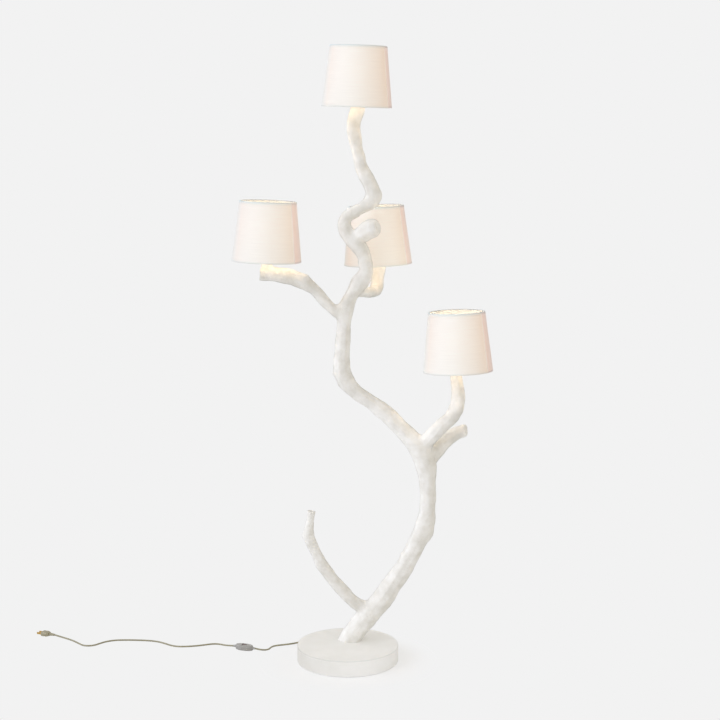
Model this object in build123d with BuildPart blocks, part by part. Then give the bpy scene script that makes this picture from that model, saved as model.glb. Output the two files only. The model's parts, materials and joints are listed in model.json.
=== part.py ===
from build123d import *
from math import cos, pi, radians, sin, tan
import os

# Branch-shaped floor lamp: four shaded lights on a cast white tree that stands on a round stone base.
# Millimetres. +Z up, -Y is the front, origin at the middle of the base's underside, on the floor.

# ---------------------------------------------------------------- driving dimensions
base_radius = 152.5
pad_thickness = 1.5
pad_inset = 6
base_thickness = 47.5
base_top = pad_thickness + base_thickness
base_edge = 1.5
recess_radius = 115
recess_top = pad_thickness + 15
weight_outer_radius = 112
weight_inner_radius = 75
weight_thickness = 12
weight_edge = 1
weight_slot = 14
weight_slot_length = 60

foot_spot = (3, 44)  # the trunk stands behind the middle of the base
foot_plate_radius = 28
foot_plate_thickness = 6
foot_plate_top = base_top + foot_plate_thickness
foot_screw_count = 3
foot_screw_circle = 19
foot_screw_radius = 3
foot_screw_head_radius = 5.5
foot_screw_head = 5
foot_screw_socket = 3.5
foot_wire_hole = 9
foot_plate_hole = 5.6
connector_size = (20, 16, 11)
connector_top = 15
connector_corner = 2
connector_pitch = (9, 8)  # between its four clamping screws
connector_screw_radius = 1.5
connector_screw_depth = 4

conduit_radius = 6.5  # steel tube cast into the tree, which carries the wires
conduit_bore = 5
wire_radius = 3
nipple_radius = 5
nipple_bore = 3.2
nipple_depth = 13  # into the branch tip
tube_start = [(3, 44, 15), (3, 44, 64)]  # up through the foot plate, before the tube bends into the trunk
tube_foot = 24  # how far below the tip each tube joins the light's own axis
tube_gap = 3  # between the tube's end and the tip
dowel_radius = 4
end_share = 0.12  # how far in from a limb's end the section that steadies its loft is

shade_bottom_radius = 101.5
shade_top_radius = 82.5
shade_height = 175
shade_wall = 1.6
shade_drop = 12  # the branch tip stands this far up inside the shade
shade_top = shade_height - shade_drop
hem_height = 5.5
hem_depth = 4.4
ring_wire = 1.5  # radius of the shade's steel wire
arm_flat = 16  # how far each arm runs level before it bends down to the bottom ring
arm_bend = 8
arm_turns = (-10, 110, 230)  # the arms' places round the light, in degrees from its +X side

holder_radius = 19
holder_foot_radius = 14
holder_shoulder = 10
holder_floor = 20
holder_height = 56
holder_bore = 15.5
holder_flange = 30
flange_thickness = 3
contact_shell = (14.1, 14.7)  # inside and outside radius of the brass screw shell
contact_shell_top = 54
contact_foot_radius = 9
contact_foot_thickness = 1.2
contact_spring_height = 6
fitter_height = 30.3
fitter_thickness = 1.5
fitter_bore = 19.3
fitter_radius = 28
nut_height = 32.1
nut_thickness = 7
nut_radius = 26
nut_flutes = 12
flute_radius = 2
flute_depth = 1.4

cap_radius = 14.1
cap_wall = 0.7
cap_foot = 26
cap_contact = (5, 2)  # radius and depth of the contact under the cap
cap_shoulder = (2.5, 3)  # its run inwards and its rise
cap_floor = 32
cap_top = 52
neck_foot = 42
neck_top = 56
bulb_radius = 30
bulb_middle = 100
bulb_wall = 0.8

cord_radius = 2.5
gland_angle = 58
gland_height = 12
gland_flange_radius = 8
gland_flange_thickness = 2.5
gland_chamfer = 0.6
gland_tip_radius = 3.3
gland_reach = 25.5  # from the base's edge to the tip of the strain relief

switch_spot = (-320, 89)
switch_heading = 160
switch_body = 28.5  # half length of the switch's oval body
switch_width = 13.5
switch_end = 36.5  # half length over the sleeves
switch_middle = 8.6  # height of its parting line and of the cord there
switch_bottom = 0.5
switch_wall = 2
switch_edge = 3
sleeve_root = 4  # how far the cord sleeves start inside the oval body
sleeve_radii = (4.6, 3.2)
screw_places = (-19, 19)
screw_post_radius = 3
screw_radius = 1.2
screw_head = (2.2, 1.6)
rocker_pivot = 12.5
rocker_window = (17.2, 9.6)
rocker_tilt = 7
rocker_play = 0.4
rocker_edge = 0.6
rocker_pin_radius = 1.2
rocker_pin_reach = 1.8  # past the window, into its bearing on each side
bearing_bore = 1.25
bearing_size = (6, 2.6)
bearing_top = 1.5  # how far the bearings rise past the inside of the case's top
# the rocker from the side, about its pivot: run along the switch and height
rocker_profile = [(-7.6, -2), (-2, -3.4), (2, -3.4), (7.6, -2), (7.6, 5.2), (0, 3.9), (-7.6, 5.2)]

plug_heading = 157
plug_sleeve = 18
plug_body = 26
plug_width = 24
plug_height = 14
plug_sleeve_radii = (3.2, 5)
plug_shoulder = 8
plug_back = (16, 10)
plug_corners = (4, 5)
plug_edge = 0.8
blade_length = 17.5
blade_root = 10
blade_spacing = 12.7
blade_section = (1.5, 6.4)
blade_point = 0.4

# ---------------------------------------------------------------- the branches
# Stations along the middle of each limb: x, y, z and the limb's radius there.
stem = [
    (-14, 46, 10, 32), (-2, 44.5, 34, 32), (12, 42, 60, 31.5), (32, 38, 92, 31.5), (58, 33, 126, 32),
    (91, 28, 166, 32), (120, 23, 206, 31), (142, 18, 245, 29.5), (177, 10, 300, 28), (196, 5, 343, 26.5),
    (222, 0, 396, 29), (236, -6, 454, 25), (239, -10, 510, 24), (237, -12, 576, 27), (230, -12, 617, 32),
    (210, -10, 661, 31), (175, -4, 698, 25), (120, 4, 754, 24), (71, 8, 792, 21.5), (22, 10, 826, 22),
    (-6, 10, 858, 25.5), (-16, 8, 893, 25), (-15.5, 5, 945, 22.5), (-11, 2, 1006, 21), (-9, 2, 1048, 23),
    (4, 4, 1096, 21), (27, 6, 1136, 22.5), (47, 5, 1164, 24), (55, 2, 1194, 20.5), (50, 0, 1219, 20.5),
    (39, -5, 1246, 22.5), (18, -8, 1271, 23), (-3, -8, 1300, 21), (-8, -4, 1325, 19.5), (3, 2, 1344, 18.5),
    (28, 8, 1357, 17.5), (55, 12, 1374, 19.5), (73.5, 14, 1400, 23.5), (69, 15, 1426, 21.5),
    (59, 16, 1448, 20.5), (47, 18, 1470, 19), (36, 20, 1497, 17.5), (30, 22, 1526, 17.5),
    (23, 24, 1561, 18), (17, 26, 1592, 20), (21, 28, 1621, 19.5), (29, 30, 1648, 20.5), (28.5, 30, 1665.969, 20),
]
lower_joint = 12  # the station where the lower and middle trunk meet
upper_joint = 23  # and the one where the middle trunk meets the upper stem

twig = [
    (76, 31, 142, 20), (49, 30, 155, 20), (24, 28, 170, 18.5), (-4, 24, 198, 18.5), (-37, 18, 238, 18),
    (-64, 12, 276, 17.5), (-86, 8, 313, 17.5), (-105, 5, 355, 16), (-115, 3, 386, 17), (-115, 2, 417, 13.5),
    (-108, 0, 464, 12.5),
]
right_arm = [
    (222, -10, 652, 20), (238, -16, 684, 24), (256, -22, 705, 23), (282, -32, 735, 22),
    (306, -40, 759, 22),
    (318, -44, 785, 21), (323, -46, 816, 19.5), (320.5, -46, 851, 18), (317, -45, 884, 17),
    (320, -44.5, 905.925, 17.5),
]
right_stub = [
    (228, -9, 602, 20), (266, 12, 646, 22), (294, 28, 672, 20), (321, 35, 692, 20), (352, 36, 702, 18),
]
stub_cut = (0.9, -0.4, 0.2)  # the way its sawn end faces
left_arm = [
    (-6, 3, 1044, 16), (-33, 2, 1065, 17.5), (-53, 1, 1081, 15.5), (-77, 0, 1107, 16), (-97, -1, 1130, 16.5),
    (-121, -2, 1147, 21), (-153, -3, 1162, 23), (-185, -4, 1169, 22.5), (-218, -5, 1175, 21),
    (-253, -5, 1179, 23),
]
left_spur = (42, 17, 13)  # its length down from the light, its foot's radius and its tip's
rear_arm = [
    (20, 2, 1122, 15), (43, 30, 1119, 16), (61, 60, 1113, 16.5), (75, 91, 1111, 17.5),
    (85, 116, 1118, 19), (88, 130, 1138, 18.5), (92, 135, 1160, 18.5), (94.5, 135, 1182, 20),
    (92, 135, 1201.4, 19.5),
]
knob = [
    (16, -6, 1273, 17), (37, -15, 1287, 23), (54, -26, 1301, 26), (69, -35, 1310, 27),
    (82, -42, 1314, 24.5), (89, -46, 1316, 18),
]
dowels = [  # steel pins that hold the limbs that carry no light
    ((60, 30, 151), (22, 28, 171)),
    ((242, -1, 619), (272, 15.5, 655)),
    ((28, -11, 1281), (58, -27, 1305)),
]

# Where each light stands: the branch tip, and how far the light leans to +X and nods to +Y, in degrees.
lights = {
    "top": ((27.5, 30, 1666), 1.8, 0),
    "left": ((-234.3, -5, 1223.5), 2.0, 0.8),
    "rear": ((90.7, 135, 1201.4), -2.2, 0.5),
    "right": ((322.4, -44.5, 906), -1.8, 2.5),
}

# ---------------------------------------------------------------- the cord's route, chosen by hand
coil_spot = (-8, 196)
coil_outer = 38.2
coil_inner = 15
coil_height = 10.3
coil_edge = 2
lead_route = [
    (94.3, 151, 12), (101.7, 163, 10.4), (105, 178.5, 7.4), (102, 195, 4.4), (92, 209, 2.8), (75, 220, 2.6),
    (51, 227.5, 2.6), (21, 231, 2.6), (-8, 231.5, 2.6),
]
switch_route = [
    (-8, 231.5, 7.6), (-38, 230.5, 6.4), (-66, 223, 4), (-92, 208, 2.8), (-115, 187, 2.6),
    (-136, 164.5, 2.6), (-156, 147.5, 2.6), (-180, 134.5, 2.6), (-206, 125.5, 2.6), (-222, 120.5, 2.6),
    (-233.1, 113, 2.6), (-239.6, 101.7, 2.6), (-243, 89.1, 2.6), (-250.7, 78.9, 3.3), (-262.4, 73.2, 5),
    (-275.4, 72.7, 7.2), (-285.7, 76.5, 8.6),
]
plug_route = [
    (-354.3, 101.5, 8.6), (-366, 106.5, 7.2), (-380, 116.5, 4.6), (-394, 128.5, 2.9), (-411, 136.5, 2.6),
    (-432, 132, 2.6), (-460, 120, 2.6), (-492, 112, 2.6), (-523, 109.5, 2.6), (-547, 117.5, 2.6),
    (-570, 138, 2.6), (-594, 156, 2.6), (-625, 166, 2.6), (-662, 170, 2.6), (-700, 171.5, 2.6),
    (-733, 169, 2.6), (-757, 157, 2.6), (-773, 140.5, 2.6), (-786, 124.5, 2.6), (-798.8, 118, 2.6),
    (-813, 117.5, 2.6), (-826, 123, 2.6), (-843, 143, 2.6), (-862, 165, 2.6), (-885, 184, 2.8),
    (-907, 196.5, 4.6), (-928, 206, 7.5),
]

os.makedirs("parts", exist_ok=True)


def save(piece, name):
    piece.part.label = name
    export_step(piece.part, f"parts/{name}.step")


# ---------------------------------------------------------------- limbs, tubes and planes
def middles(stations):
    return [(x, y, z) for x, y, z, _ in stations]


def sections(stations, side=(0, 1, 0), last_run=None):
    # planes square to the limb at its stations, all turned to the same side, each with its radius
    points = [Vector(*point) for point in middles(stations)]
    side = Vector(side)
    found = []
    for index, point in enumerate(points):
        run = points[min(index + 1, len(points) - 1)] - points[max(index - 1, 0)]
        if last_run and index == len(points) - 1:
            run = last_run
        across = side - run * (side.dot(run) / run.dot(run))
        found.append((Plane(origin=point, x_dir=across, z_dir=run), stations[index][3]))
    return found


def steadied(limb):
    # a loft swings near its ends, so each end gets a second section close to it
    held = list(limb)
    for place, (plane, radius), (next_plane, next_radius) in ((1, *limb[:2]), (-1, limb[-1], limb[-2])):
        between = Plane(
            origin=plane.origin + (next_plane.origin - plane.origin) * end_share,
            x_dir=plane.x_dir + (next_plane.x_dir - plane.x_dir) * end_share,
            z_dir=plane.z_dir + (next_plane.z_dir - plane.z_dir) * end_share,
        )
        held.insert(place, (between, radius + (next_radius - radius) * end_share))
    return held


def rings(limb):
    # the limb's round sections as faces
    faces = []
    for plane, radius in steadied(limb):
        with BuildSketch(plane) as ring:
            Circle(radius)
        faces.append(ring.sketch.face())
    return faces


def bend_radii(points):
    # each bend is as large as its two runs allow
    points = [Vector(*point) for point in points]
    radii = []
    for before, here, after in zip(points, points[1:], points[2:]):
        turn = (here - before).get_angle(after - here)
        shorter = min((here - before).length, (after - here).length)
        radii.append(0.45 * shorter / tan(radians(turn) / 2))
    return radii


def bent_line(points):
    with BuildLine() as line:
        FilletPolyline(*points, radius=bend_radii(points))
    return line.wire()


def rod(line, radius):
    # a round bar along a bent line
    with BuildPart() as bar:
        with BuildSketch(Plane(origin=line @ 0, z_dir=line % 0)):
            Circle(radius)
        sweep(path=line)
    return bar.part


def light_plane(place, lean, nod):
    # a plane on the branch tip whose normal is the light's own axis
    upright = Vector(sin(radians(lean)), sin(radians(nod)), 1)
    across = Vector(1, 0, 0) - upright * (upright.X / upright.dot(upright))
    return Plane(origin=place, x_dir=across, z_dir=upright)


def upright_plane(plane):
    # the plane through a light's axis that its turned profiles are drawn on: radius across, height up
    return Plane(origin=plane.origin, x_dir=plane.x_dir, z_dir=-plane.y_dir)


light_planes = {name: light_plane(*light) for name, light in lights.items()}
light_axes = {name: Axis(plane.origin, plane.z_dir) for name, plane in light_planes.items()}


def up_to_light(points, name):
    # a tube's points with its last two on the light's own axis, just under the branch tip
    plane = light_planes[name]
    return points + [plane.from_local_coords((0, 0, height)) for height in (-tube_foot, -tube_gap)]


stem_sections = sections(stem, last_run=light_planes["top"].z_dir)
lower_sections = stem_sections[: lower_joint + 1]
middle_sections = stem_sections[lower_joint : upper_joint + 1]
upper_sections = stem_sections[upper_joint:]

# ---------------------------------------------------------------- outer forms of the limbs
with BuildPart() as lower_form:
    loft(rings(lower_sections))
with BuildPart() as middle_form:
    loft(rings(middle_sections))
with BuildPart() as upper_form:
    loft(rings(upper_sections))
with BuildPart() as right_form:
    loft(rings(sections(right_arm, last_run=light_planes["right"].z_dir)))

# ---------------------------------------------------------------- steel tubes, wires and pins in the tree
stem_line = bent_line(up_to_light(tube_start + middles(stem)[3:-2], "top"))
right_line = bent_line(up_to_light(middles(right_arm)[:-2], "right"))
left_line = bent_line(up_to_light(middles(left_arm)[:-2] + [(-212, -5, 1173), (-230, -5, 1181)], "left"))
rear_line = bent_line(up_to_light(middles(rear_arm)[:-2], "rear"))
arm_lines = (right_line, left_line, rear_line)
stem_tube = rod(stem_line, conduit_radius)
right_tube, left_tube, rear_tube = [rod(line, conduit_radius) for line in arm_lines]

with BuildPart() as nipple_forms:
    for plane in light_planes.values():
        with BuildSketch(plane.offset(-nipple_depth)):
            Circle(nipple_radius)
        extrude(amount=nipple_depth + holder_floor)
with BuildPart() as holder_nipples:
    add(nipple_forms.part)
    for plane in light_planes.values():
        with BuildSketch(plane.offset(-nipple_depth)):
            Circle(nipple_bore)
        extrude(amount=nipple_depth + holder_floor, mode=Mode.SUBTRACT)
save(holder_nipples, "holder_nipples")

with BuildPart() as stem_conduit:
    add(stem_tube)
    split(bisect_by=Plane.XY.offset(foot_plate_top))
    add(rod(stem_line, conduit_bore), mode=Mode.SUBTRACT)
    for line in arm_lines:
        add(rod(line, conduit_bore), mode=Mode.SUBTRACT)
    add(nipple_forms.part, mode=Mode.SUBTRACT)
save(stem_conduit, "stem_conduit")

with BuildPart() as arm_conduits:
    for line in arm_lines:
        add(rod(line, conduit_radius))
    for line in arm_lines:
        add(rod(line, conduit_bore), mode=Mode.SUBTRACT)
    add(stem_tube, mode=Mode.SUBTRACT)
    add(nipple_forms.part, mode=Mode.SUBTRACT)
save(arm_conduits, "arm_conduits")

outward = Vector(cos(radians(gland_angle)), sin(radians(gland_angle)), 0)
gland_tip = outward * (base_radius + gland_reach) + Vector(0, 0, gland_height)
inner_cord_points = [gland_tip, outward * 82 + Vector(0, 0, gland_height), (28, 55, 11), (11, 48, 10)]
with BuildPart() as wiring:
    add(rod(stem_line, wire_radius))
    for line in arm_lines:
        add(rod(line, wire_radius))
    for plane in light_planes.values():
        with BuildSketch(plane.offset(-nipple_depth)):
            Circle(wire_radius)
        extrude(amount=nipple_depth + holder_floor)
    add(rod(bent_line(inner_cord_points), cord_radius))
save(wiring, "wiring")

with BuildPart() as branch_dowels:
    for start, end in dowels:
        with BuildSketch(Plane(origin=start, z_dir=Vector(*end) - Vector(*start))):
            Circle(dowel_radius)
        extrude(amount=(Vector(*end) - Vector(*start)).length)
save(branch_dowels, "branch_dowels")
print("tubes and wires built")

# ---------------------------------------------------------------- base
with BuildPart() as foot_plate:
    with BuildSketch(Plane.XY.offset(base_top)):
        with Locations(foot_spot):
            Circle(foot_plate_radius)
            Circle(foot_plate_hole, mode=Mode.SUBTRACT)
            with PolarLocations(foot_screw_circle, foot_screw_count, start_angle=90):
                Circle(foot_screw_radius, mode=Mode.SUBTRACT)
    extrude(amount=foot_plate_thickness)
save(foot_plate, "foot_plate")

with BuildPart() as foot_screws:
    with BuildSketch(Plane.XY.offset(recess_top)):
        with Locations(foot_spot):
            with PolarLocations(foot_screw_circle, foot_screw_count, start_angle=90):
                Circle(foot_screw_head_radius)
    extrude(amount=-foot_screw_head)
    with BuildSketch(Plane.XY.offset(recess_top)):
        with Locations(foot_spot):
            with PolarLocations(foot_screw_circle, foot_screw_count, start_angle=90):
                Circle(foot_screw_radius)
    extrude(amount=foot_plate_top - recess_top)
    with BuildSketch(Plane.XY.offset(recess_top - foot_screw_head)):
        with Locations(foot_spot):
            with PolarLocations(foot_screw_circle, foot_screw_count, start_angle=90):
                RegularPolygon(foot_screw_radius, 6)
    extrude(amount=foot_screw_socket, mode=Mode.SUBTRACT)
save(foot_screws, "foot_screws")

gland_plane = Plane(origin=outward * base_radius + Vector(0, 0, gland_height), z_dir=outward)
with BuildPart() as base_disc:
    with BuildSketch(Plane.XY.offset(pad_thickness)):
        Circle(base_radius)
    extrude(amount=base_thickness)
    fillet(base_disc.edges().group_by(Axis.Z)[-1], base_edge)
    chamfer(base_disc.edges().group_by(Axis.Z)[0], base_edge / 2)
    with BuildSketch(Plane.XY.offset(pad_thickness)):
        Circle(recess_radius)
    extrude(amount=recess_top - pad_thickness, mode=Mode.SUBTRACT)
    with BuildSketch(Plane.XY.offset(recess_top)):
        with Locations(foot_spot):
            Circle(foot_wire_hole)
            with PolarLocations(foot_screw_circle, foot_screw_count, start_angle=90):
                Circle(foot_screw_radius)
    extrude(amount=base_thickness, mode=Mode.SUBTRACT)
    with BuildSketch(gland_plane):
        Circle(nipple_radius)
    extrude(amount=-(base_radius - recess_radius + base_edge), mode=Mode.SUBTRACT)
save(base_disc, "base_disc")

weight_middle_radius = (weight_outer_radius + weight_inner_radius) / 2
with BuildPart() as base_weight:
    with BuildSketch(Plane.XY.offset(recess_top)):
        Circle(weight_outer_radius)
        Circle(weight_inner_radius, mode=Mode.SUBTRACT)
        with Locations(Location((0, 0, 0), (0, 0, gland_angle))):
            with Locations((weight_middle_radius, 0)):
                Rectangle(weight_slot_length, weight_slot, mode=Mode.SUBTRACT)
    extrude(amount=-weight_thickness)
    chamfer(base_weight.edges().group_by(Axis.Z)[0], weight_edge)
save(base_weight, "base_weight")

with BuildPart() as base_pad:
    with BuildSketch():
        Circle(base_radius - pad_inset)
    extrude(amount=pad_thickness)
save(base_pad, "base_pad")

with BuildPart() as wire_connector:
    with BuildSketch(Plane.XY.offset(connector_top)):
        with Locations(foot_spot):
            Rectangle(connector_size[0], connector_size[1])
    extrude(amount=-connector_size[2])
    fillet(wire_connector.edges().filter_by(Axis.Z), connector_corner)
    with BuildSketch(Plane.XY.offset(connector_top - connector_size[2])):
        with Locations(foot_spot):
            with GridLocations(*connector_pitch, 2, 2):
                Circle(connector_screw_radius)
    extrude(amount=connector_screw_depth, mode=Mode.SUBTRACT)
    add(wiring.part, mode=Mode.SUBTRACT)
save(wire_connector, "wire_connector")

with BuildPart() as cord_gland:
    with BuildSketch(gland_plane):
        Circle(gland_flange_radius)
    extrude(amount=gland_flange_thickness)
    chamfer(cord_gland.edges().sort_by(Axis(gland_plane.origin, outward))[-1], gland_chamfer)
    with BuildSketch(gland_plane.offset(gland_flange_thickness - gland_chamfer)):
        Circle(nipple_radius)
    with BuildSketch(gland_plane.offset(gland_reach)):
        Circle(gland_tip_radius)
    loft()
    with BuildSketch(gland_plane):
        Circle(nipple_radius)
    extrude(amount=-(base_radius - recess_radius))
    with BuildSketch(gland_plane.offset(gland_reach)):
        Circle(cord_radius)
    extrude(amount=-(gland_reach + base_radius - recess_radius), mode=Mode.SUBTRACT)
save(cord_gland, "cord_gland")
print("base built")

# ---------------------------------------------------------------- the cast tree
with BuildPart() as trunk_lower:
    add(lower_form.part)
    split(bisect_by=Plane.XY.offset(base_top))
    with BuildSketch(Plane.XY.offset(base_top)):
        with Locations(foot_spot):
            Circle(foot_plate_radius)
    extrude(amount=foot_plate_thickness, mode=Mode.SUBTRACT)
    add(stem_tube, mode=Mode.SUBTRACT)
    add(branch_dowels.part, mode=Mode.SUBTRACT)
save(trunk_lower, "trunk_lower")

with BuildPart() as trunk_middle:
    add(middle_form.part)
    for tube in (stem_tube, right_tube, branch_dowels.part):
        add(tube, mode=Mode.SUBTRACT)
save(trunk_middle, "trunk_middle")

with BuildPart() as stem_upper:
    add(upper_form.part)
    for tube in (stem_tube, left_tube, rear_tube, branch_dowels.part, nipple_forms.part):
        add(tube, mode=Mode.SUBTRACT)
save(stem_upper, "stem_upper")

with BuildPart() as twig_limb:
    loft(rings(sections(twig)))
    add(lower_form.part, mode=Mode.SUBTRACT)
    add(branch_dowels.part, mode=Mode.SUBTRACT)
save(twig_limb, "twig")

with BuildPart() as right_limb:
    add(right_form.part)
    for tube in (middle_form.part, right_tube, nipple_forms.part):
        add(tube, mode=Mode.SUBTRACT)
save(right_limb, "right_arm")

with BuildPart() as stub_limb:
    loft(rings(sections(right_stub, last_run=Vector(*stub_cut))))
    for tube in (middle_form.part, right_form.part, branch_dowels.part):
        add(tube, mode=Mode.SUBTRACT)
save(stub_limb, "right_stub")

with BuildPart() as left_limb:
    loft(rings(sections(left_arm)))
    spur_length, spur_foot_radius, spur_tip_radius = left_spur
    spur_plane = light_planes["left"]
    loft(rings([(spur_plane.offset(-spur_length), spur_foot_radius), (spur_plane, spur_tip_radius)]))
    for tube in (upper_form.part, left_tube, nipple_forms.part):
        add(tube, mode=Mode.SUBTRACT)
save(left_limb, "left_arm")

with BuildPart() as rear_limb:
    loft(rings(sections(rear_arm, side=(1, 0, 0), last_run=light_planes["rear"].z_dir)))
    for tube in (upper_form.part, rear_tube, nipple_forms.part):
        add(tube, mode=Mode.SUBTRACT)
save(rear_limb, "rear_arm")

with BuildPart() as knob_limb:
    loft(rings(sections(knob)))
    for tube in (upper_form.part, branch_dowels.part):
        add(tube, mode=Mode.SUBTRACT)
save(knob_limb, "knob")
print("tree built")

# ---------------------------------------------------------------- the four lights
shade_slope = (shade_bottom_radius - shade_top_radius) / shade_height


def shade_radius(height):
    # outside radius of the shade at a height above the branch tip
    return shade_bottom_radius - shade_slope * (height + shade_drop)


ring_inset = hem_depth / 2
top_ring_height = shade_top - hem_height / 2
bottom_ring_height = hem_height / 2 - shade_drop
top_ring_radius = shade_radius(top_ring_height) - ring_inset
bottom_ring_radius = shade_radius(bottom_ring_height) - ring_inset
arm_height = fitter_height + fitter_thickness / 2
contact_radius, contact_depth = cap_contact
shoulder_run, shoulder_rise = cap_shoulder
neck_radius = cap_radius - cap_wall
neck_inside = neck_radius - bulb_wall
bulb_inside = bulb_radius - bulb_wall
crown = bulb_middle + bulb_radius

for name, plane in light_planes.items():
    axis = light_axes[name]
    upright = upright_plane(plane)

    # pressed steel fitter, three bent wire arms and the bottom ring, welded together
    arm_points = [
        upright.from_local_coords((fitter_radius - 1, arm_height)),
        upright.from_local_coords((fitter_radius + arm_flat, arm_height)),
        upright.from_local_coords((bottom_ring_radius, bottom_ring_height)),
    ]
    with BuildLine() as arm_line:
        FilletPolyline(*arm_points, radius=arm_bend)
    arm = rod(arm_line.wire(), ring_wire)
    with BuildPart() as shade_frame:
        with BuildSketch(plane.offset(fitter_height)):
            Circle(fitter_radius)
            Circle(fitter_bore, mode=Mode.SUBTRACT)
        extrude(amount=fitter_thickness)
        with BuildSketch(upright):
            with Locations((bottom_ring_radius, bottom_ring_height)):
                Circle(ring_wire)
        revolve(axis=axis)
        for turn in arm_turns:
            add(arm.rotate(axis, turn))
    save(shade_frame, f"{name}_shade_frame")

    with BuildPart() as shade_top_ring:
        with BuildSketch(upright):
            with Locations((top_ring_radius, top_ring_height)):
                Circle(ring_wire)
        revolve(axis=axis)
    save(shade_top_ring, f"{name}_shade_top_ring")

    # fabric laminated on a stiff liner, rolled round both rings
    with BuildPart() as shade:
        with BuildSketch(upright):
            with BuildLine():
                hem_top = shade_top - hem_height
                hem_foot = hem_height - shade_drop
                Polyline(
                    (shade_radius(-shade_drop), -shade_drop),
                    (shade_radius(shade_top), shade_top),
                    (shade_radius(shade_top) - hem_depth, shade_top),
                    (shade_radius(hem_top) - hem_depth, hem_top),
                    (shade_radius(hem_top) - shade_wall, hem_top),
                    (shade_radius(hem_foot) - shade_wall, hem_foot),
                    (shade_radius(hem_foot) - hem_depth, hem_foot),
                    (shade_radius(-shade_drop) - hem_depth, -shade_drop),
                    close=True,
                )
            make_face()
        revolve(axis=axis)
        add(shade_frame.part, mode=Mode.SUBTRACT)
        add(shade_top_ring.part, mode=Mode.SUBTRACT)
    save(shade, f"{name}_shade")

    # moulded lampholder with its flange and threaded skirt
    with BuildPart() as lamp_holder:
        with BuildSketch(upright):
            with BuildLine():
                Polyline(
                    (nipple_radius, 0),
                    (holder_foot_radius, 0),
                    (holder_radius, holder_shoulder),
                    (holder_radius, holder_flange - flange_thickness),
                    (nut_radius, holder_flange - flange_thickness),
                    (nut_radius, holder_flange),
                    (holder_radius, holder_flange),
                    (holder_radius, holder_height),
                    (holder_bore, holder_height),
                    (holder_bore, holder_floor),
                    (nipple_radius, holder_floor),
                    close=True,
                )
            make_face()
        revolve(axis=axis)
    save(lamp_holder, f"{name}_lamp_holder")

    with BuildPart() as shade_nut:
        with BuildSketch(plane.offset(nut_height)):
            Circle(nut_radius)
            Circle(holder_radius, mode=Mode.SUBTRACT)
            with PolarLocations(nut_radius + flute_radius - flute_depth, nut_flutes):
                Circle(flute_radius, mode=Mode.SUBTRACT)
        extrude(amount=nut_thickness)
    save(shade_nut, f"{name}_shade_nut")

    with BuildPart() as bulb_cap:
        with BuildSketch(upright):
            with BuildLine():
                Polyline(
                    (0, cap_foot),
                    (contact_radius, cap_foot),
                    (contact_radius, cap_foot + contact_depth),
                    (cap_radius - shoulder_run, cap_foot + contact_depth),
                    (cap_radius, cap_foot + contact_depth + shoulder_rise),
                    (cap_radius, cap_top),
                    (neck_radius, cap_top),
                    (neck_radius, cap_floor),
                    (0, cap_floor),
                    close=True,
                )
            make_face()
        revolve(axis=axis)
    save(bulb_cap, f"{name}_bulb_cap")

    with BuildPart() as bulb_glass:
        with BuildSketch(upright):
            with BuildLine():
                Line((neck_radius, neck_foot), (neck_radius, neck_top))
                Spline((neck_radius, neck_top), (bulb_radius, bulb_middle), tangents=((0, 1), (0, 1)))
                RadiusArc((bulb_radius, bulb_middle), (0, crown), -bulb_radius)
                Line((0, crown), (0, crown - bulb_wall))
                RadiusArc((0, crown - bulb_wall), (bulb_inside, bulb_middle), bulb_inside)
                Spline((bulb_inside, bulb_middle), (neck_inside, neck_top), tangents=((0, -1), (0, -1)))
                Line((neck_inside, neck_top), (neck_inside, neck_foot))
                Line((neck_inside, neck_foot), (neck_radius, neck_foot))
            make_face()
        revolve(axis=axis)
    save(bulb_glass, f"{name}_bulb_glass")

# the brass inside each holder: its screw shell and the spring contact at its floor
shell_inside, shell_outside = contact_shell
contact_foot_top = holder_floor + contact_foot_thickness
with BuildPart() as holder_contacts:
    for name, plane in light_planes.items():
        with BuildSketch(upright_plane(plane)):
            with BuildLine():
                Polyline(
                    (contact_foot_radius, holder_floor),
                    (holder_bore, holder_floor),
                    (holder_bore, contact_foot_top),
                    (shell_outside, contact_foot_top),
                    (shell_outside, contact_shell_top),
                    (shell_inside, contact_shell_top),
                    (shell_inside, contact_foot_top),
                    (contact_foot_radius, contact_foot_top),
                    close=True,
                )
            make_face()
        revolve(axis=light_axes[name])
        with BuildSketch(plane.offset(holder_floor)):
            Circle(nipple_radius)
        extrude(amount=contact_spring_height)
save(holder_contacts, "holder_contacts")
print("lights built")

# ---------------------------------------------------------------- switch on the cord
switch_plane = Plane(
    origin=(switch_spot[0], switch_spot[1], switch_middle),
    x_dir=(cos(radians(switch_heading)), sin(radians(switch_heading)), 0),
    z_dir=(0, 0, 1),
)
half_height = switch_middle - switch_bottom
rocker_lift = rocker_pivot - switch_middle
screw_spots = [(place, 0) for place in screw_places]
head_radius, head_depth = screw_head


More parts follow.
